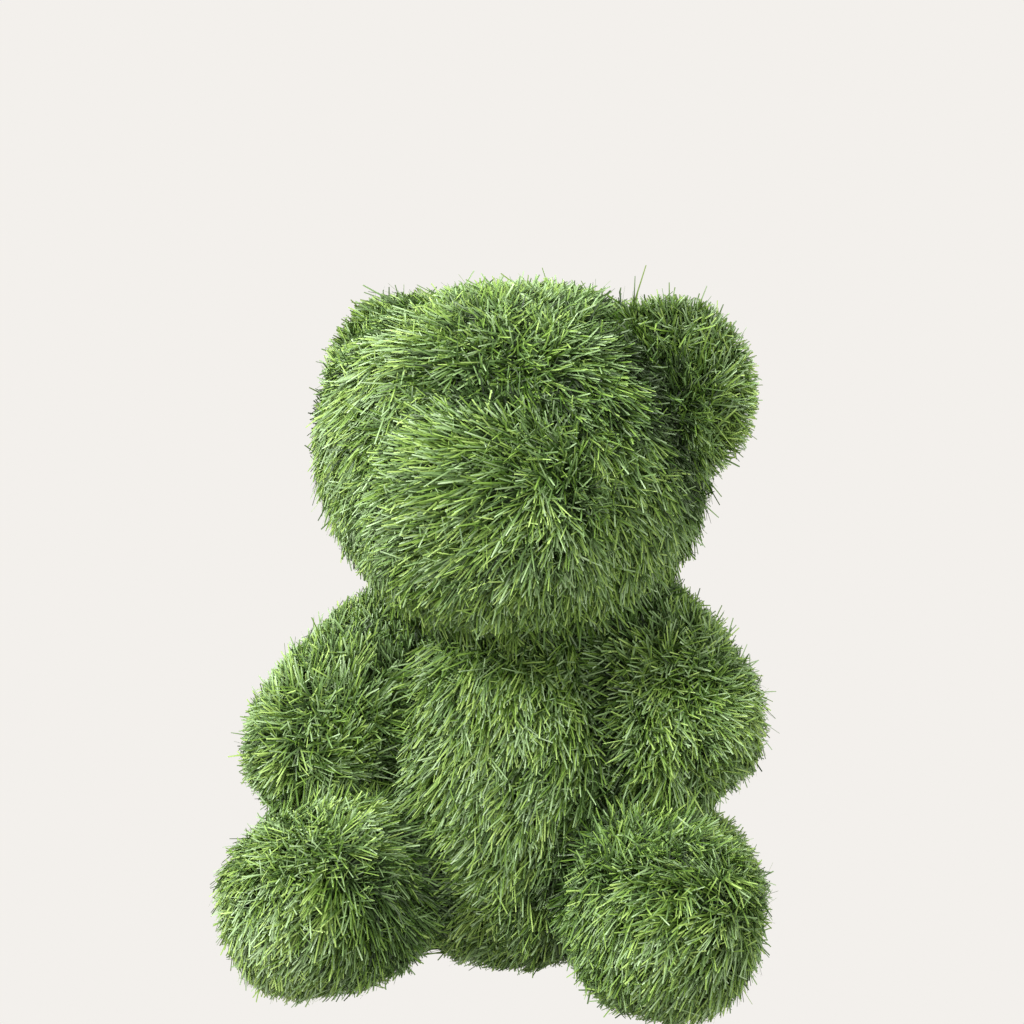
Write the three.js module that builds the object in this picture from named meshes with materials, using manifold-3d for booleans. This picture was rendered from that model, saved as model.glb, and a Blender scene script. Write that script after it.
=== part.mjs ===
// A seated bear covered all over with artificial grass. Head, muzzle, ears, torso, arms and legs are
// one closed body, whose skin lies where the combed blades end. The bear faces -Y and sits on Z = 0,
// flat where its own weight presses the pile down. Its left limbs are on +X. Sizes are in millimetres.
import * as THREE from "three";
import { mergeVertices } from "three/addons/utils/BufferGeometryUtils.js";
import { ImprovedNoise } from "three/addons/math/ImprovedNoise.js";
import Module from "manifold-3d";

// Driving sizes of the plump forms, over the grass.
const TORSO_WIDTH = 204;
const TORSO_DEPTH = 178;
const TORSO_HEIGHT = 284;
const HEAD_WIDTH = 284;
const HEAD_DEPTH = 236;
const HEAD_HEIGHT = 246;
const MUZZLE_WIDTH = 184;
const MUZZLE_DEPTH = 146;
const MUZZLE_HEIGHT = 164;
const EAR_DIAMETER = 138;
const EAR_THICKNESS = 50;
const EAR_CUP_DEPTH = 30;
const LEFT_ARM_LENGTH = 172;
const RIGHT_ARM_LENGTH = 190;
const ARM_DIAMETER = 112;
const PAW_DIAMETER = 120;
const LEG_LENGTH = 252;
const LEG_DIAMETER = 134;
const FOOT_DIAMETER = 144;

// How deep the seat and the legs are pressed flat by the ground.
const SEAT_SINK = 13;
const LEG_SINK = 4;

// The pile stands up in locks: their spacing, their length along the comb, and their height.
const LOCK_SPACING = 30;
const LOCK_LENGTH = 62;
const LOCK_HEIGHT = 4;

const GRASS = new THREE.MeshStandardMaterial({ color: 0x4d7a33, roughness: 0.75, metalness: 0 });
const UP = new THREE.Vector3(0, 0, 1);

const torso = {
  centre: new THREE.Vector3(0, 0, TORSO_HEIGHT / 2 - SEAT_SINK),
  size: new THREE.Vector3(TORSO_WIDTH, TORSO_DEPTH, TORSO_HEIGHT),
};
const head = {
  centre: new THREE.Vector3(0.005 * HEAD_WIDTH, -0.03 * HEAD_DEPTH, TORSO_HEIGHT - SEAT_SINK + 0.37 * HEAD_HEIGHT),
  size: new THREE.Vector3(HEAD_WIDTH, HEAD_DEPTH, HEAD_HEIGHT),
};

// A point in or on a form, in shares of its half sizes from its centre.
function pointOn(form, x, y, z) {
  return new THREE.Vector3(x, y, z).multiply(form.size).multiplyScalar(0.5).add(form.centre);
}

// A plump form between a ball and a block. Squareness 2 makes an ellipsoid, and more makes it boxier.
// reshape moves a point of the unit form, before it gets its size.
function plumpForm(size, squareness, detail, reshape = () => {}) {
  const geometry = new THREE.IcosahedronGeometry(1, detail);
  const position = geometry.getAttribute("position");
  const p = new THREE.Vector3();
  for (let i = 0; i < position.count; i++) {
    p.fromBufferAttribute(position, i);
    const sum = p.toArray().reduce((total, c) => total + Math.abs(c) ** squareness, 0);
    p.multiplyScalar(sum ** (-1 / squareness));
    reshape(p);
    p.multiply(size).multiplyScalar(0.5);
    position.setXYZ(i, p.x, p.y, p.z);
  }
  return geometry;
}

function placed(geometry, centre, rotation = new THREE.Quaternion()) {
  return geometry.applyQuaternion(rotation).translate(...centre.toArray());
}

const noise = new ImprovedNoise();

// Raises the locks of grass: a soft relief along each vertex's normal, drawn out down the body.
function raiseLocks(geometry) {
  geometry.deleteAttribute("normal");
  geometry.deleteAttribute("uv");
  const closed = mergeVertices(geometry, 1e-3);
  closed.computeVertexNormals();
  const position = closed.getAttribute("position");
  const normal = closed.getAttribute("normal");
  for (let i = 0; i < position.count; i++) {
    const [x, y, z] = [position.getX(i), position.getY(i), position.getZ(i)];
    const lift = LOCK_HEIGHT * noise.noise(x / LOCK_SPACING, y / LOCK_SPACING, z / LOCK_LENGTH);
    position.setXYZ(i, x + lift * normal.getX(i), y + lift * normal.getY(i), z + lift * normal.getZ(i));
  }
  closed.deleteAttribute("normal");
  return closed;
}

function torsoForm() {
  return placed(plumpForm(torso.size, 2.3, 8), torso.centre);
}

// The head is widest at the ears and narrows to the jaw.
function headForm() {
  const jawNarrowing = 0.15;
  const shape = plumpForm(head.size, 2.45, 10, (p) => {
    p.x *= 1 + jawNarrowing * Math.min(p.z, 0);
  });
  return placed(shape, head.centre);
}

function muzzleForm() {
  const size = new THREE.Vector3(MUZZLE_WIDTH, MUZZLE_DEPTH, MUZZLE_HEIGHT);
  return placed(plumpForm(size, 2.2, 7), pointOn(head, -0.02, -0.7, -0.2));
}

// An ear is a round pad, bowed so that its rim comes forward round a shallow cup. Turn is about the
// upright axis and lean is sideways, both in degrees.
function earForm(centre, turn, lean) {
  const size = new THREE.Vector3(EAR_DIAMETER, EAR_THICKNESS, EAR_DIAMETER);
  const bow = (2 * EAR_CUP_DEPTH) / EAR_THICKNESS;
  const shape = plumpForm(size, 2.1, 6, (p) => {
    p.y += bow * (0.5 - p.x * p.x - p.z * p.z);
  });
  const angles = new THREE.Euler(0, THREE.MathUtils.degToRad(lean), THREE.MathUtils.degToRad(turn), "ZYX");
  return placed(shape, centre, new THREE.Quaternion().setFromEuler(angles));
}

// A limb runs from the root's middle along its direction, and swells from one diameter to another.
function limbForm(root, direction, length, rootDiameter, endDiameter, detail) {
  const along = direction.clone().normalize();
  const swell = endDiameter / rootDiameter - 1;
  const shape = plumpForm(new THREE.Vector3(rootDiameter, rootDiameter, length), 2.4, detail, (p) => {
    const width = 1 + swell * THREE.MathUtils.smoothstep(p.z, -0.2, 0.7);
    p.x *= width;
    p.y *= width;
  });
  const centre = root.clone().addScaledVector(along, (length - rootDiameter) / 2);
  return placed(shape, centre, new THREE.Quaternion().setFromUnitVectors(UP, along));
}

// The arms hang forward. The left one is bent more, so it is shorter and its shoulder is higher.
function armForm(shoulder, direction, length) {
  return limbForm(pointOn(torso, ...shoulder), new THREE.Vector3(...direction), length, ARM_DIAMETER, PAW_DIAMETER, 6);
}

// The legs lie on the ground and spread a little. Splay is sideways for a length of one forward.
function legForm(side, splay) {
  const hip = new THREE.Vector3(side * 0.47 * TORSO_WIDTH, -0.02 * TORSO_DEPTH, LEG_DIAMETER / 2 - LEG_SINK);
  return limbForm(hip, new THREE.Vector3(side * splay, -1, 0), LEG_LENGTH, LEG_DIAMETER, FOOT_DIAMETER, 7);
}

const wasm = await Module();
wasm.setup();

function solid(geometry) {
  const closed = mergeVertices(geometry, 1e-3);
  const mesh = new wasm.Mesh({
    numProp: 3,
    vertProperties: closed.getAttribute("position").array,
    triVerts: new Uint32Array(closed.index.array),
  });
  return new wasm.Manifold(mesh);
}

// Everything under the ground plane, which the resting forms are pressed against.
function ground() {
  const side = 4 * LEG_LENGTH;
  const block = new THREE.BoxGeometry(side, side, side).translate(0, 0, -side / 2);
  block.deleteAttribute("normal");
  block.deleteAttribute("uv");
  return solid(block);
}

const forms = [
  torsoForm(),
  headForm(),
  muzzleForm(),
  earForm(pointOn(head, 0.71, -0.08, 0.41), 14, 3),
  earForm(pointOn(head, -0.51, -0.04, 0.41), -22, -3),
  armForm([0.91, 0, 0.68], [0.5, -0.45, -0.6], LEFT_ARM_LENGTH),
  armForm([-0.96, 0.02, 0.58], [-0.48, -0.48, -0.62], RIGHT_ARM_LENGTH),
  legForm(1, 0.25),
  legForm(-1, 0.24),
];
const bear = forms
  .map((form) => solid(raiseLocks(form)))
  .reduce((body, form) => body.add(form))
  .subtract(ground());

const { numProp, vertProperties, triVerts } = bear.getMesh();
const skin = new THREE.BufferGeometry();
const places = new Float32Array((vertProperties.length / numProp) * 3);
for (let i = 0; i < places.length / 3; i++) {
  places.set(vertProperties.subarray(i * numProp, i * numProp + 3), i * 3);
}
skin.setAttribute("position", new THREE.BufferAttribute(places, 3));
skin.setIndex(new THREE.BufferAttribute(triVerts, 1));
skin.computeVertexNormals();

const figure = new THREE.Mesh(skin, GRASS);
figure.name = "bear";
const group = new THREE.Group();
group.add(figure);

export default group;
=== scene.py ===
"""A seated bear covered all over with artificial grass.

A turf backing takes the place of the bear's solid and lies under the pile. The pile is blades of yarn in
coats, one for each part of the body. Everything is in metres, +Z is up, and the bear faces -Y with its
left limbs on +X.
"""

import math

import bpy
import numpy as np
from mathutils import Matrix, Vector
from mathutils.bvhtree import BVHTree
from mathutils.kdtree import KDTree


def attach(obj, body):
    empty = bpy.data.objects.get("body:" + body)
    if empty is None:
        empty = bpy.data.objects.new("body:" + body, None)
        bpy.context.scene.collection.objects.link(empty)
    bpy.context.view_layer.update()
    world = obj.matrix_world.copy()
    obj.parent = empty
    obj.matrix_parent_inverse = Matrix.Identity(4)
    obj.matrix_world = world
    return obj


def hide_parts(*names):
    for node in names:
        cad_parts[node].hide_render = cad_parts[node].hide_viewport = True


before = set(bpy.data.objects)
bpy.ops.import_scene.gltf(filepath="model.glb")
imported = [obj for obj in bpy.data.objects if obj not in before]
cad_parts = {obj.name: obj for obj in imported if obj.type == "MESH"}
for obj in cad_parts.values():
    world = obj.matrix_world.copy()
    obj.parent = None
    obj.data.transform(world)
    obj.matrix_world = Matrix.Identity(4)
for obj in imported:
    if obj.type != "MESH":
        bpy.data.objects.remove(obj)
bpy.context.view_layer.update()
scene = bpy.context.scene

# One seed, so that each run grows the same coat.
rng = np.random.default_rng(7)


# Studio
# The bear sits on a sheet of plain pale paper, with more of it all round. A soft box from its front
# right, one overhead and a broad weak one from its left light it.

LOOK_AT = (0.0, 0.0, 0.25)
CAMERA_DISTANCE = 1.73
CAMERA_AZIMUTH = 10.5
CAMERA_ELEVATION = 10.0
LENS_LENGTH = 85
LENS_SHIFT = (-0.0068, 0.1009)
PAPER = "#F3F0EC"
PAPER_LIGHT = 0.8
FLOOR_HALF_SIDE = 3.0

# Azimuth and elevation in degrees, distance, side and watts of each soft box.
SOFT_BOXES = {
    "key_light": (-48, 35, 2.6, 0.7, 122),
    "top_light": (-15, 76, 2.2, 1.0, 36),
    "fill_light": (42, 8, 2.8, 1.6, 50),
}


def linear(hex_colour):
    """The linear RGBA of an sRGB hex colour."""
    channels = [int(hex_colour[i : i + 2], 16) / 255 for i in (1, 3, 5)]
    return tuple(c / 12.92 if c <= 0.04045 else ((c + 0.055) / 1.055) ** 2.4 for c in channels) + (1.0,)


def add_node(tree, kind, settings=None, **inputs):
    """A node with its settings and its inputs, each a value or another node's output.

    An input goes by its name, or by i and its number where its name isn't enough.
    """
    node = tree.nodes.new(kind)
    for name, value in (settings or {}).items():
        setattr(node, name, value)
    for name, value in inputs.items():
        numbered = name[0] == "i" and name[1:].isdigit()
        socket = node.inputs[int(name[1:]) if numbered else name.replace("_", " ")]
        if isinstance(value, bpy.types.NodeSocket):
            tree.links.new(value, socket)
        else:
            socket.default_value = value
    return node


def new_material(name):
    material = bpy.data.materials.new(name)
    material.use_nodes = True
    material.node_tree.nodes.clear()
    return material, material.node_tree


def seen_from_bear(azimuth, elevation, distance):
    """A place as far from the bear's middle as given, at an azimuth and an elevation in degrees."""
    a, e = math.radians(azimuth), math.radians(elevation)
    away = (math.sin(a) * math.cos(e), -math.cos(a) * math.cos(e), math.sin(e))
    return tuple(t + distance * d for t, d in zip(LOOK_AT, away))


def set_up(name, data, place):
    """Puts a camera or a light in its place, turned to the bear."""
    thing = bpy.data.objects.new(name, data)
    thing.location = place
    thing.rotation_euler = (Vector(LOOK_AT) - thing.location).to_track_quat("-Z", "Y").to_euler()
    scene.collection.objects.link(thing)
    return thing


def paper_level(tree):
    """How bright the paper is: fully where it is seen, and less where it lights the bear."""
    seen = add_node(tree, "ShaderNodeLightPath").outputs["Is Camera Ray"]
    level = add_node(tree, "ShaderNodeMapRange", Value=seen, To_Min=PAPER_LIGHT, To_Max=1.0)
    return level.outputs["Result"]


def floor_paper():
    """Matt paper, so evenly lit that it shows no shadow. It shows from above only, and so leaves the
    bear's underside open to view."""
    material, tree = new_material("studio_paper")
    glow = add_node(tree, "ShaderNodeEmission", Color=linear(PAPER), Strength=paper_level(tree))
    clear = add_node(tree, "ShaderNodeBsdfTransparent")
    under = add_node(tree, "ShaderNodeNewGeometry").outputs["Backfacing"]
    sheet = add_node(tree, "ShaderNodeMixShader", i0=under, i1=glow.outputs[0], i2=clear.outputs[0])
    add_node(tree, "ShaderNodeOutputMaterial", Surface=sheet.outputs[0])
    return material


lens = bpy.data.cameras.new("camera")
lens.lens = LENS_LENGTH
lens.shift_x, lens.shift_y = LENS_SHIFT
scene.camera = set_up("camera", lens, seen_from_bear(CAMERA_AZIMUTH, CAMERA_ELEVATION, CAMERA_DISTANCE))
scene.view_settings.view_transform = "Standard"

world = bpy.data.worlds.new("paper")
world.use_nodes = True
world.node_tree.nodes.clear()
glow = add_node(
    world.node_tree, "ShaderNodeBackground", Color=linear(PAPER), Strength=paper_level(world.node_tree)
)
add_node(world.node_tree, "ShaderNodeOutputWorld", Surface=glow.outputs[0])
scene.world = world

h = FLOOR_HALF_SIDE
floor_mesh = bpy.data.meshes.new("paper_floor")
floor_mesh.from_pydata([(-h, -h, 0), (h, -h, 0), (h, h, 0), (-h, h, 0)], [], [(0, 1, 2, 3)])
floor_mesh.materials.append(floor_paper())
floor = bpy.data.objects.new("paper_floor", floor_mesh)
scene.collection.objects.link(floor)

for name, (azimuth, elevation, distance, side, watts) in SOFT_BOXES.items():
    lamp = bpy.data.lights.new(name, "AREA")
    lamp.energy = watts
    lamp.size = side
    set_up(name, lamp, seen_from_bear(azimuth, elevation, distance))


# Turf backing
# The woven polypropylene backing of the turf, coated with latex and glued round the light body. It lies
# a pile's depth under the skin of the solid, with the creases between the forms rounded off, and shows
# only in glimpses between the tufts.

PILE_DEPTH = 0.013
BACKING_MESH_SIZE = 0.0065
BACKING_SOFTENING = 6

# The thatch yarn on the backing curls about once in 3.85 mm.
THATCH_CURL = 0.00385
THATCH_COLOURS = ((0.3, "#16260C"), (0.6, "#233812"), (0.8, "#38481E"))


def add_ramp(tree, fac, stops):
    """A colour ramp over places from 0 to 1."""
    node = add_node(tree, "ShaderNodeValToRGB", Fac=fac)
    ramp = node.color_ramp
    while len(ramp.elements) < len(stops):
        ramp.elements.new(1.0)
    for element, (place, colour) in zip(ramp.elements, stops):
        element.position = place
        element.color = linear(colour)
    return node.outputs["Color"]


def thatched_backing():
    """Short curled thatch over latex: a matt dark green with olive flecks."""
    material, tree = new_material("turf_backing_thatch")
    place = add_node(tree, "ShaderNodeTexCoord").outputs["Object"]
    thatch = add_node(tree, "ShaderNodeTexNoise", Vector=place, Scale=1 / THATCH_CURL, Detail=4.0)
    colour = add_ramp(tree, thatch.outputs["Fac"], THATCH_COLOURS)
    surface = add_node(tree, "ShaderNodeBsdfPrincipled", Base_Color=colour, Roughness=0.9)
    add_node(tree, "ShaderNodeOutputMaterial", Surface=surface.outputs[0])
    return material


def turf_backing():
    """The bear's solid, rounded and drawn in to where the pile is rooted."""
    backing = bpy.data.objects.new("turf_backing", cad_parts["bear"].data.copy())
    scene.collection.objects.link(backing)
    even = backing.modifiers.new("even", "REMESH")
    even.mode = "VOXEL"
    even.voxel_size = BACKING_MESH_SIZE
    soften = backing.modifiers.new("soften", "SMOOTH")
    soften.factor = 0.5
    soften.iterations = BACKING_SOFTENING
    draw_in = backing.modifiers.new("draw_in", "DISPLACE")
    draw_in.mid_level = 0.0
    draw_in.strength = -PILE_DEPTH
    shaped = bpy.data.meshes.new_from_object(backing.evaluated_get(bpy.context.evaluated_depsgraph_get()))
    backing.modifiers.clear()
    backing.data = shaped
    shaped.materials.clear()
    shaped.materials.append(thatched_backing())
    return backing


backing = turf_backing()
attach(backing, "root")
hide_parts("bear")


# Grass coats
# The pile of the turf: tufts of flat polyethylene yarn, stitched through the backing about 4 mm apart.
# A tuft has straight blades 36 mm long and 1.2 mm wide, and shorter curled thatch between them. The turf
# is glued on in panels and combed, so each part of the body has a coat of its own.

TUFT_SPACING = 0.0038
TUFT_SIZE = 0.0012
BLADES_IN_TUFT = 12

# Neighbouring tufts hold together in locks, which lie, rise and fade each in its own way.
LOCK_SIZE = 0.011
LOCKS = 8192
RUFFLE = 0.5
RUFFLE_WAVES = rng.normal(0, 55, (7, 3))

# Each tuft has a faded and a fresh green, both in this many shades from dark to pale.
SHADES = 32
FADED_GREENS = ((0.02, "#203012"), (0.09, "#3F582B"), (0.23, "#758F5E"), (0.48, "#A9BC9E"))
FRESH_GREENS = ((0.52, "#1D300B"), (0.59, "#3C581B"), (0.73, "#738F41"), (0.98, "#A7BC75"))
# Down each blade the colour darkens towards the root: painted shade of the pile, with some dust.
ROOT_TO_TIP = ((0.0, "#1C2B10"), (0.35, "#7C915C"), (0.7, "#DBE6C2"), (1.0, "#F2F6E8"))


def turf_yarn():
    """Extruded polyethylene yarn: a satin plastic with a weak gloss, dark at the root with painted shade
    and dust, and pale at the tip.

    Its IOR is near 1.5, the default. Each blade takes its colour from one column of its map, with its
    root at the bottom. The columns of the faded greens come before those of the fresh ones.
    """
    material, tree = new_material("polyethylene_turf_yarn")
    place = add_node(tree, "ShaderNodeUVMap", {"uv_map": "OFBake"}).outputs["UV"]
    axes = add_node(tree, "ShaderNodeSeparateXYZ", Vector=place)
    green = add_ramp(tree, axes.outputs["X"], FADED_GREENS + FRESH_GREENS)
    along = add_ramp(tree, axes.outputs["Y"], ROOT_TO_TIP)
    multiply = {"data_type": "RGBA", "blend_type": "MULTIPLY"}
    colour = add_node(tree, "ShaderNodeMix", multiply, i0=1.0, i6=green, i7=along).outputs[2]
    surface = add_node(
        tree, "ShaderNodeBsdfPrincipled", Base_Color=colour, Roughness=0.5, Specular_IOR_Level=0.22
    )
    add_node(tree, "ShaderNodeOutputMaterial", Surface=surface.outputs[0])
    return material


# Forms of the body, as in the solid, to tell which coat a tuft is in and where the creases are

def unit(v):
    return v / np.maximum(np.linalg.norm(v, axis=-1, keepdims=True), 1e-9)


def ball(centre, size):
    """How far out of an ellipsoid a point lies, as a share of its half size."""
    return lambda p: np.linalg.norm((p - np.array(centre)) / (np.array(size) / 2), axis=1)


def limb(root, direction, length, width):
    """How far out of a limb a point lies, as a share of its radius."""
    root, along = np.array(root), unit(np.array(direction))

    def share(p):
        t = np.clip((p - root) @ along, 0, length)
        return np.linalg.norm(p - root - t[:, None] * along, axis=1) / (width / 2)

    return share


FORMS = {
    "torso": ball((0, 0, 0.129), (0.204, 0.178, 0.284)),
    "head": ball((0.0015, -0.007, 0.362), (0.284, 0.236, 0.246)),
    "muzzle": ball((-0.003, -0.09, 0.337), (0.184, 0.146, 0.164)),
    "left_ear": ball((0.106, -0.02, 0.412), (0.118, 0.1, 0.138)),
    "right_ear": ball((-0.08, -0.016, 0.412), (0.118, 0.1, 0.138)),
    "left_arm": limb((0.093, 0, 0.226), (0.5, -0.45, -0.6), 0.06, 0.117),
    "right_arm": limb((-0.098, 0.002, 0.211), (-0.48, -0.48, -0.62), 0.078, 0.117),
    "left_leg": limb((0.096, -0.004, 0.063), (0.25, -1, 0), 0.118, 0.14),
    "right_leg": limb((-0.096, -0.004, 0.063), (-0.24, -1, 0), 0.118, 0.14),
}
NAMES = list(FORMS)



# Comb of the pile: on each form the blades part at a whorl or a line, and lie away from it

FOREHEAD_WHORL = (0.01, -0.104, 0.447)
MUZZLE_WHORL = (0.055, -0.14, 0.375)
LEFT_EAR_WHORL = (0.07, 0.0, 0.39)
RIGHT_EAR_WHORL = (-0.04, -0.02, 0.38)
LEFT_ARM_WHORL = (0.122, -0.076, 0.216)
RIGHT_ARM_WHORL = (-0.14, -0.092, 0.172)
LEFT_FOOT_PARTING = ((0.09, -0.133, 0.118), (0.173, -0.15, 0.096))
RIGHT_FOOT_PARTING = ((-0.148, -0.141, 0.116), (-0.0945, -0.148, 0.114))


def from_parting(p, start, end=None, ease=0.035):
    """The way from the nearest point of a whorl or a parting, weak near it and 1 long well away."""
    a, b = np.array(start), np.array(end or start)
    t = np.clip(((p - a) @ (b - a)) / max((b - a) @ (b - a), 1e-9), 0, 1)
    away = p - a - t[:, None] * (b - a)
    far = np.linalg.norm(away, axis=1, keepdims=True)
    return unit(away) * (1 - np.exp(-((far / ease) ** 2)))


def falling(p, side, down):
    """A steady comb, sideways and down."""
    sideways, up = np.broadcast_to(side, len(p)), np.broadcast_to(-down, len(p))
    return np.stack([sideways, np.zeros(len(p)), up], axis=1)


def comb_torso(p):
    front = np.where(p[:, 1] < 0, 1.0, 0.3)
    return falling(p, front * (-0.5 + p[:, 0] / 0.09 * 0.4), 1.0)


def comb_head(p):
    far = np.linalg.norm(p - np.array(FOREHEAD_WHORL), axis=1)
    return from_parting(p, FOREHEAD_WHORL) + falling(p, 0, 1.1 * (1 - np.exp(-((far / 0.08) ** 2))))


def comb_muzzle(p):
    low = np.clip((0.375 - p[:, 2]) / 0.08, 0, 1)
    return from_parting(p, MUZZLE_WHORL, ease=0.05) + falling(p, -0.2, 0.1 + 0.7 * low)


def comb_left_ear(p):
    return from_parting(p, LEFT_EAR_WHORL, ease=0.02) + falling(p, 0, 0.15)


def comb_right_ear(p):
    return from_parting(p, RIGHT_EAR_WHORL, ease=0.02) + falling(p, -0.5, -0.2)


def comb_left_arm(p):
    return from_parting(p, LEFT_ARM_WHORL, ease=0.05) + falling(p, 0, 0.2)


def comb_right_arm(p):
    return from_parting(p, RIGHT_ARM_WHORL) + falling(p, -0.4, 0.05)


def comb_leg(p, start, end):
    """Away from a parting over the foot, and down over its sole."""
    away = from_parting(p, start, end)
    reach = np.linalg.norm(away, axis=1)
    sole = reach * np.clip((-0.12 - p[:, 1]) / 0.02, 0, 1)
    return away * (1 - 0.35 * sole)[:, None] + falling(p, -0.45 * sole, 0.15 * reach + 0.75 * sole)


def comb_left_leg(p):
    return comb_leg(p, *LEFT_FOOT_PARTING)


def comb_right_leg(p):
    return comb_leg(p, *RIGHT_FOOT_PARTING)


COMBS = {
    "torso": comb_torso,
    "head": comb_head,
    "muzzle": comb_muzzle,
    "left_ear": comb_left_ear,
    "right_ear": comb_right_ear,
    "left_arm": comb_left_arm,
    "right_arm": comb_right_arm,
    "left_leg": comb_left_leg,
    "right_leg": comb_right_leg,
}


# Tufts: where they are stitched, which lock and form they belong to, and how they are combed

def mesh_numbers(items, field, kind):
    """Three numbers for each item of a mesh, as rows."""
    numbers = np.empty(len(items) * 3, kind)
    items.foreach_get(field, numbers)
    return numbers.reshape(-1, 3)


def stitched(mesh, spacing):
    """Places of tufts all over a mesh, none nearer to the next than the spacing, and the normals there."""
    mesh.calc_loop_triangles()
    places = mesh_numbers(mesh.vertices, "co", np.float32).astype(float)
    corners = mesh_numbers(mesh.loop_triangles, "vertices", np.int32)
    normals = mesh_numbers(mesh.vertex_normals, "vector", np.float32).astype(float)
    a, b, c = (places[corners[:, i]] for i in range(3))
    area = np.linalg.norm(np.cross(b - a, c - a), axis=1) / 2
    count = int(4 * area.sum() / spacing**2)
    chosen = rng.choice(len(area), count, p=area / area.sum())
    u, v = rng.random((2, count))
    u, v = np.where(u + v > 1, 1 - u, u), np.where(u + v > 1, 1 - v, v)
    weights = np.stack([1 - u - v, u, v], axis=1)[..., None]
    at = (places[corners[chosen]] * weights).sum(1)
    out = unit((normals[corners[chosen]] * weights).sum(1))
    tree = KDTree(count)
    for i, point in enumerate(at):
        tree.insert(point, i)
    tree.balance()
    free = np.ones(count, bool)
    for i, point in enumerate(at):
        if free[i]:
            for _, j, _ in tree.find_range(point, spacing):
                free[j] = j <= i and free[j]
    return at[free], out[free]


def lock_of(p):
    """A number for the lock of pile that each place belongs to. Large primes spread the numbers."""
    cell = np.floor(p / LOCK_SIZE).astype(np.int64)
    return (cell @ np.array([73856093, 19349663, 83492791])) % LOCKS


def ruffle(p):
    """How the comb is disturbed: a slow drift over the body and a way of its own for each lock."""
    drift = sum(np.sin(p @ k)[:, None] * unit(np.cross(k, (0.3, 0.5, 0.8))) for k in RUFFLE_WAVES)
    return RUFFLE * (0.35 * drift + rng.normal(0, 0.6, (LOCKS, 3))[lock_of(p)])


def near(p, middle, reach):
    """1 at the middle, and fading to 0 over about twice the reach from it."""
    return np.exp(-((np.linalg.norm(p - np.array(middle), axis=1) / reach) ** 2))


# How wide a crease is, as the gap between a place's shares of the two forms that meet in it.
CREASE_REACH = 0.33
LEFT_EAR_CREASE_REACH = 0.18
RIGHT_EAR_CREASE_REACH = 0.1


def creased(at, shares):
    """How deep in the crease between two forms each place lies, from 0 to 1, which also sets the shade
    painted there.
    """
    head, muzzle, torso, left_ear, right_ear = (
        shares[NAMES.index(name)] for name in ("head", "muzzle", "torso", "left_ear", "right_ear")
    )
    first, second = np.sort(shares, axis=0)[:2]
    gap = second - first
    crease = np.exp(-((gap / np.where(left_ear == first, LEFT_EAR_CREASE_REACH, CREASE_REACH)) ** 2))
    # The muzzle runs into the head almost smoothly, apart from the brow.
    on_face = (head <= second) & (muzzle <= second)
    brow = (at[:, 2] > 0.395) & (at[:, 0] > -0.04)
    crease[on_face] *= np.where(brow[on_face], 0.6, 0.15)
    # The right ear meets the head in a narrow line.
    by_ear = (right_ear == first) | (right_ear == second)
    crease[by_ear] = 0.8 * np.exp(-((gap[by_ear] / RIGHT_EAR_CREASE_REACH) ** 2))
    # The middle of the chest and the foot of the belly lie open.
    open_front = (np.abs(at[:, 0]) < 0.055) & (at[:, 1] < 0) & ((at[:, 2] > 0.16) | (at[:, 2] < 0.07))
    crease[(torso == first) & open_front] *= 0.25
    return crease


def combed(at, out):
    """Each tuft's form, the way it is combed along the skin, how flat it lies, and how deep in a crease."""
    shares = np.array([FORMS[name](at) for name in NAMES])
    form = np.argmin(shares, axis=0)
    way = np.zeros_like(at)
    for i, name in enumerate(NAMES):
        way[form == i] = COMBS[name](at[form == i])
    way += ruffle(at)
    way -= (way * out).sum(1, keepdims=True) * out
    strength = np.linalg.norm(way, axis=1)
    return form, unit(way), np.clip((strength - 0.15) / 0.75, 0, 1), creased(at, shares)


# Blades: how they grow, how the skin holds them, and their mesh

BLADE_LENGTH = 0.036
BLADE_WIDTH = 0.0012
UNEVENNESS = 0.12
TIP_WIDTH = 0.65
BEND_AT = 0.34
ROOT_DEPTH = 0.001
GROUND_GAP = 0.0006

# How a blade leans from the skin's normal at its root and at its tip, in degrees: in a tuft that stands,
# and how much more in one that lies flat.
ROOT_LEAN, ROOT_LEAN_MORE = 24, 24
TIP_LEAN, TIP_LEAN_MORE = 64, 26

# Short thatch in every direction fills the gaps between the blades.
THATCH_SHARE = 0.28
THATCH_WIDTH = 0.8
THATCH_LENGTH = (0.4, 0.65)

# From the waist up, the bear's left side is clipped shorter and combed less evenly.
CLIPPED_OVER = 0.17
CLIPPED_BY = 0.25

# Stray blades stand up to this much further out than the rest.
STRAY_SHARE = 0.045
STRAY_RISE = 0.008

# A small tuft of tall blades, about 16 mm across, stands between the head and the left ear.
TALL_TUFT = (0.08, -0.04, 0.465)
TALL_TUFT_RADIUS = 0.008
TALL_LENGTH = 1.15 * BLADE_LENGTH
TALL_RISE = 0.022

# How far a point may hang over the skin that its blade grows from, and over any other skin, before it
# is drawn back, and how far the middle of a blade may. Skin counts as a blade's own where its normal is
# within about 41 degrees of the one at the blade's root, which has this cosine.
HANG_OVER_OWN = 0.013
HANG_OVER_OTHER = 0.004
HANG_OF_MIDDLE = 0.003
OWN_SKIN = 0.75

# The rows of the yarn's map that a blade's root, bend and tip take their colour from.
ROOT_ROW, BEND_ROW, TIP_ROW = 0.02, 0.36, 0.98

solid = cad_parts["bear"].data
skin = BVHTree.FromPolygons([v.co for v in solid.vertices], [f.vertices for f in solid.polygons])


def above_skin(point):
    """How far a point is over the solid's skin, and the skin's normal under it."""
    nearest, normal, _, distance = skin.find_nearest(point)
    return (distance if (Vector(point) - nearest).dot(normal) > 0 else 0.0), normal


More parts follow.
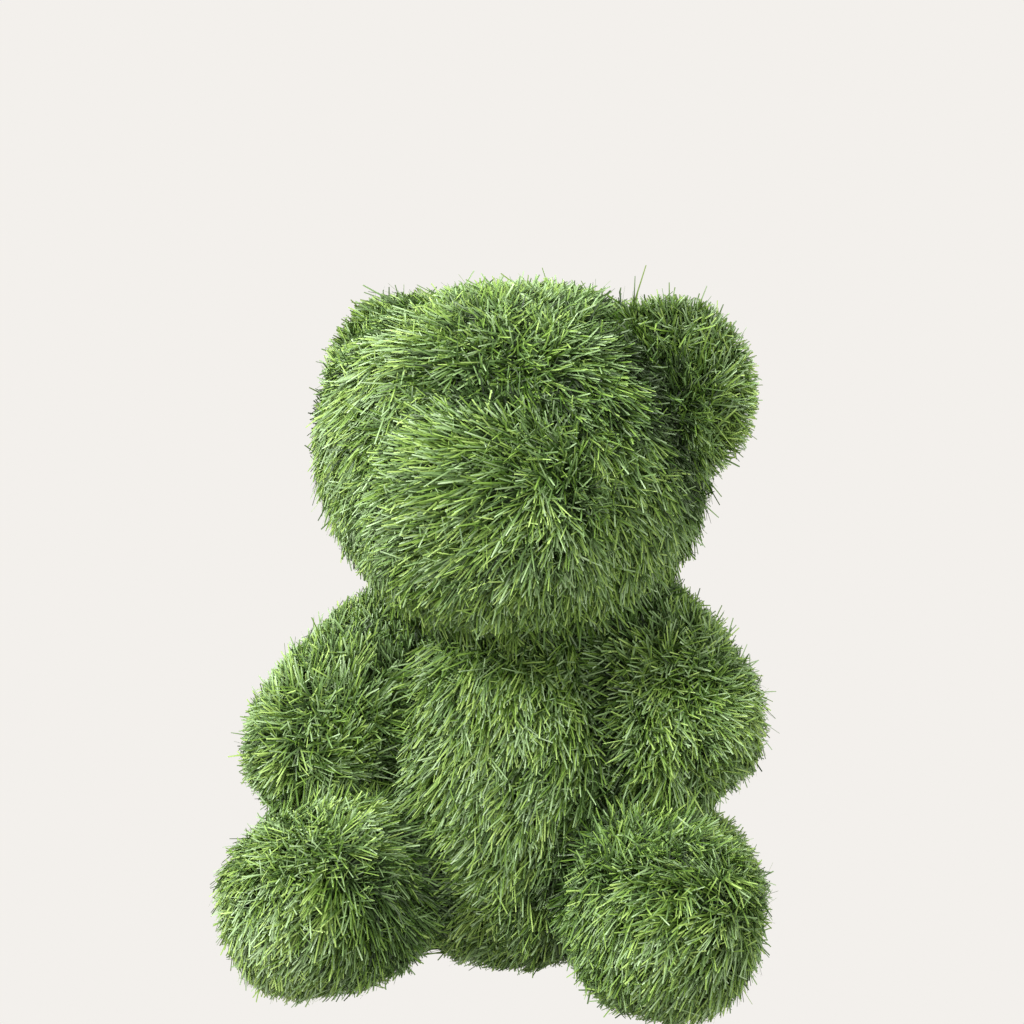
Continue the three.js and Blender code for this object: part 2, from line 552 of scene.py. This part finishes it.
def held_in(before, points, out, proud):
    """Points drawn in to the solid's skin, apart from how far each may stand proud of it.

    A point that hangs over a hollow is first drawn back to the one before it, so that no blade spans it.
    """
    kept = points.copy()
    for i, point in enumerate(points):
        for share in (1.0, 0.7, 0.45, 0.25):
            drawn = before[i] + share * (point - before[i])
            over, normal = above_skin(drawn)
            middle, _ = above_skin((before[i] + drawn) / 2)
            own = normal.dot(out[i]) > OWN_SKIN
            rise = proud[i] if own else min(proud[i], 0.0)
            hangs = over >= rise + (HANG_OVER_OWN if own else HANG_OVER_OTHER)
            if not hangs and middle < max(rise, 0.0) + HANG_OF_MIDDLE:
                break
        kept[i] = drawn - np.array(normal) * max(over - rise, 0)
    return kept


def grown(at, out, way, flat, crease, rise):
    """The blades' roots, bends and tips, and which blades are thatch and which are tall."""
    count = len(at)
    clipped = np.interp(at[:, 0], (0.0, 0.07), (0.0, 1.0)) * (at[:, 2] > CLIPPED_OVER)
    # Where the comb is weak, the blades turn every way, and one in ten is turned well aside elsewhere.
    turn = rng.normal(0, 0.17 + 0.2 * clipped + 2.0 * (1 - flat) ** 2, count)
    turn += rng.normal(0, 1.0, count) * (rng.random(count) < 0.1)
    length = BLADE_LENGTH * rng.normal(1, UNEVENNESS, count).clip(0.6, 1.3)
    length *= (1 - 0.45 * crease) * (0.8 + 0.2 * flat) * (1 - CLIPPED_BY * clipped)
    stray = rng.random(count) < STRAY_SHARE
    length = np.where(stray, length * rng.uniform(1.0, 1.25, count), length)
    in_tall_tuft = np.linalg.norm(at - np.array(TALL_TUFT), axis=1) < TALL_TUFT_RADIUS
    tall = in_tall_tuft & (rng.random(count) < 0.5)
    length[tall] = TALL_LENGTH
    thatch = ~stray & ~tall & (rng.random(count) < THATCH_SHARE)
    length[thatch] *= rng.uniform(*THATCH_LENGTH, thatch.sum())
    turn = np.where(thatch, rng.uniform(0, 2 * np.pi, count), turn)
    way = way * np.cos(turn)[:, None] + np.cross(out, way) * np.sin(turn)[:, None]
    way[tall] = unit(np.array((-0.1, 0, 1)) + rng.normal(0, 0.12, (tall.sum(), 3)))
    lean = np.radians(ROOT_LEAN + ROOT_LEAN_MORE * flat + rise + rng.normal(0, 9, count))
    end = np.radians(TIP_LEAN + TIP_LEAN_MORE * flat + rise + rng.normal(0, 11, count))
    end = np.where(stray, rng.uniform(0.5, 1.2, count), end)
    lean = np.where(thatch, rng.uniform(0.0, 0.5, count), lean)
    end = np.where(thatch, rng.uniform(0.6, 1.9, count), end)
    proud = rng.normal(-0.0008, 0.0025, count) + np.where(stray, rng.uniform(0.0, STRAY_RISE, count), 0.0)
    proud[tall] = rng.uniform(0.0, TALL_RISE, tall.sum())
    straight = [at]
    for low, high in ((0.0, BEND_AT), (BEND_AT, 1.0)):
        angle = lean + (end - lean) * (low + high) / 2
        step = out * np.cos(angle)[:, None] + way * np.sin(angle)[:, None]
        straight.append(straight[-1] + step * ((high - low) * length)[:, None])
    bend = held_in(at, straight[1], out, proud)
    tip = held_in(bend, straight[2], out, proud)
    return [np.maximum(p, (-np.inf, -np.inf, GROUND_GAP)) for p in (at, bend, tip)], thatch, tall


def flattened(points, out, thatch):
    """The blades' corners: the root, and two each side of the spine at the bend and at the tip."""
    count = len(out)
    root, bend, tip = points
    side = unit(np.cross(unit(tip - bend), out + 0.6 * rng.normal(0, 1, (count, 3))))
    width = BLADE_WIDTH * rng.normal(1, UNEVENNESS, count).clip(0.6, 1.4)
    half = side * (width * np.where(thatch, THATCH_WIDTH, 1.0) / 2)[:, None]
    rows = [root, bend - half, bend + half, tip - TIP_WIDTH * half, tip + TIP_WIDTH * half]
    return np.stack(rows, axis=1)


def dyed_and_shaded(tone_and_painted_shade, fresh):
    """Places on the yarn's map for the corners of each blade's two faces, in the column of its tone and
    painted shade.
    """
    count = len(tone_and_painted_shade)
    column = np.clip((rng.beta(2.7, 2.9, count) + tone_and_painted_shade) * SHADES, 0, SHADES - 1).astype(int)
    column += SHADES * (rng.random(count) < fresh)
    left, middle, right = ((column + across) / (2 * SHADES) for across in (0.12, 0.5, 0.88))
    u = np.stack([middle, right, left, left, right, right, left], axis=1)
    v = np.broadcast_to([ROOT_ROW] + 4 * [BEND_ROW] + 2 * [TIP_ROW], (count, 7))
    return np.stack([u, v], axis=2)


def blade_mesh(name, vertices, uv):
    """A triangle from each blade's root to its bend, and a quad from there to its tip."""
    count = len(vertices)
    corners = np.arange(count)[:, None] * 5 + (0, 2, 1, 1, 2, 4, 3)
    starts = np.arange(count)[:, None] * 7 + (0, 3)
    mesh = bpy.data.meshes.new(name)
    mesh.vertices.add(count * 5)
    mesh.vertices.foreach_set("co", vertices.astype(np.float32).reshape(-1))
    mesh.loops.add(count * 7)
    mesh.loops.foreach_set("vertex_index", corners.astype(np.int32).reshape(-1))
    mesh.polygons.add(count * 2)
    mesh.polygons.foreach_set("loop_start", starts.astype(np.int32).reshape(-1))
    mesh.update(calc_edges=True)
    layer = mesh.uv_layers.new(name="OFBake")
    layer.data.foreach_set("uv", uv.astype(np.float32).reshape(-1))
    mesh.materials.append(yarn)
    return mesh


yarn = turf_yarn()
tufts, normals = stitched(backing.data, TUFT_SPACING)
form, way, flat, crease = combed(tufts, normals)
locks = lock_of(tufts)
swerve = rng.normal(0, 0.15, len(tufts))
way = way * np.cos(swerve)[:, None] + np.cross(normals, way) * np.sin(swerve)[:, None]
rise = rng.normal(0, 11, LOCKS)[locks]

# How much paler or darker than middling each tuft is, in shares of the range of shades. Tufts differ
# at random from lock to lock, and painted shade darkens them in creases, in the cup of the left ear,
# under the forehead's whorl and where they stand upright.
EAR_CUP = (0.1, -0.035, 0.415)
FOREHEAD_SHADE = (0.02, -0.11, 0.44)
tone_and_painted_shade = 0.075 + rng.normal(0, 0.09, LOCKS)[locks] - 0.55 * crease - 0.1 * (1 - flat)
tone_and_painted_shade -= 0.9 * near(tufts, EAR_CUP, 0.04) + 0.08 * near(tufts, FOREHEAD_SHADE, 0.05)
fresh = rng.uniform(0.1, 0.9, LOCKS)[locks]

# The parts differ too, in painted light and shade: the rim of the left ear and the right leg are the
# palest, and the insides of the legs, in painted shade, are the darkest.
inner_left, inner_right = (np.clip(inward - 0.35, 0, 1) for inward in (-normals[:, 0], normals[:, 0]))
for name, change in {
    "left_ear": 0.38,
    "right_ear": 0.12,
    "head": 0.03 + 0.08 * (tufts[:, 0] < -0.03),
    "muzzle": 0.05 * (tufts[:, 2] > 0.39),
    "left_arm": 0.04,
    "torso": np.interp(tufts[:, 2], (0.06, 0.09, 0.17, 0.24), (0.04, -0.03, -0.02, 0.14)),
    "left_leg": 0.02 - 0.3 * inner_left - 0.22 * (1 - flat),
    "right_leg": 0.19 - 0.9 * inner_right - 0.22 * (1 - flat),
}.items():
    tone_and_painted_shade += change * (form == NAMES.index(name))

# The head and the torso have two coats each, before and behind a line across them.
LINES_ACROSS = {"head": (-0.02, "face", "head_back"), "torso": (0.0, "belly", "back")}
coats = {}
for i, name in enumerate(NAMES):
    if name in LINES_ACROSS:
        line, front, behind = LINES_ACROSS[name]
        before = tufts[:, 1] < line
        coats[front + "_grass"] = (form == i) & before
        coats[behind + "_grass"] = (form == i) & ~before
    else:
        coats[name + "_grass"] = form == i

for name, mine in coats.items():
    tuft = np.repeat(np.flatnonzero(mine), BLADES_IN_TUFT)
    out = normals[tuft]
    root = tufts[tuft] + rng.normal(0, TUFT_SIZE, (len(tuft), 3)) - out * ROOT_DEPTH
    points, thatch, tall = grown(root, out, way[tuft], flat[tuft], crease[tuft], rise[tuft])
    corners = flattened(points, out, thatch)
    coat = bpy.data.objects.new(name, blade_mesh(name, corners, dyed_and_shaded(tone_and_painted_shade[tuft] + 0.4 * tall, fresh[tuft])))
    scene.collection.objects.link(coat)
    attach(coat, "root")
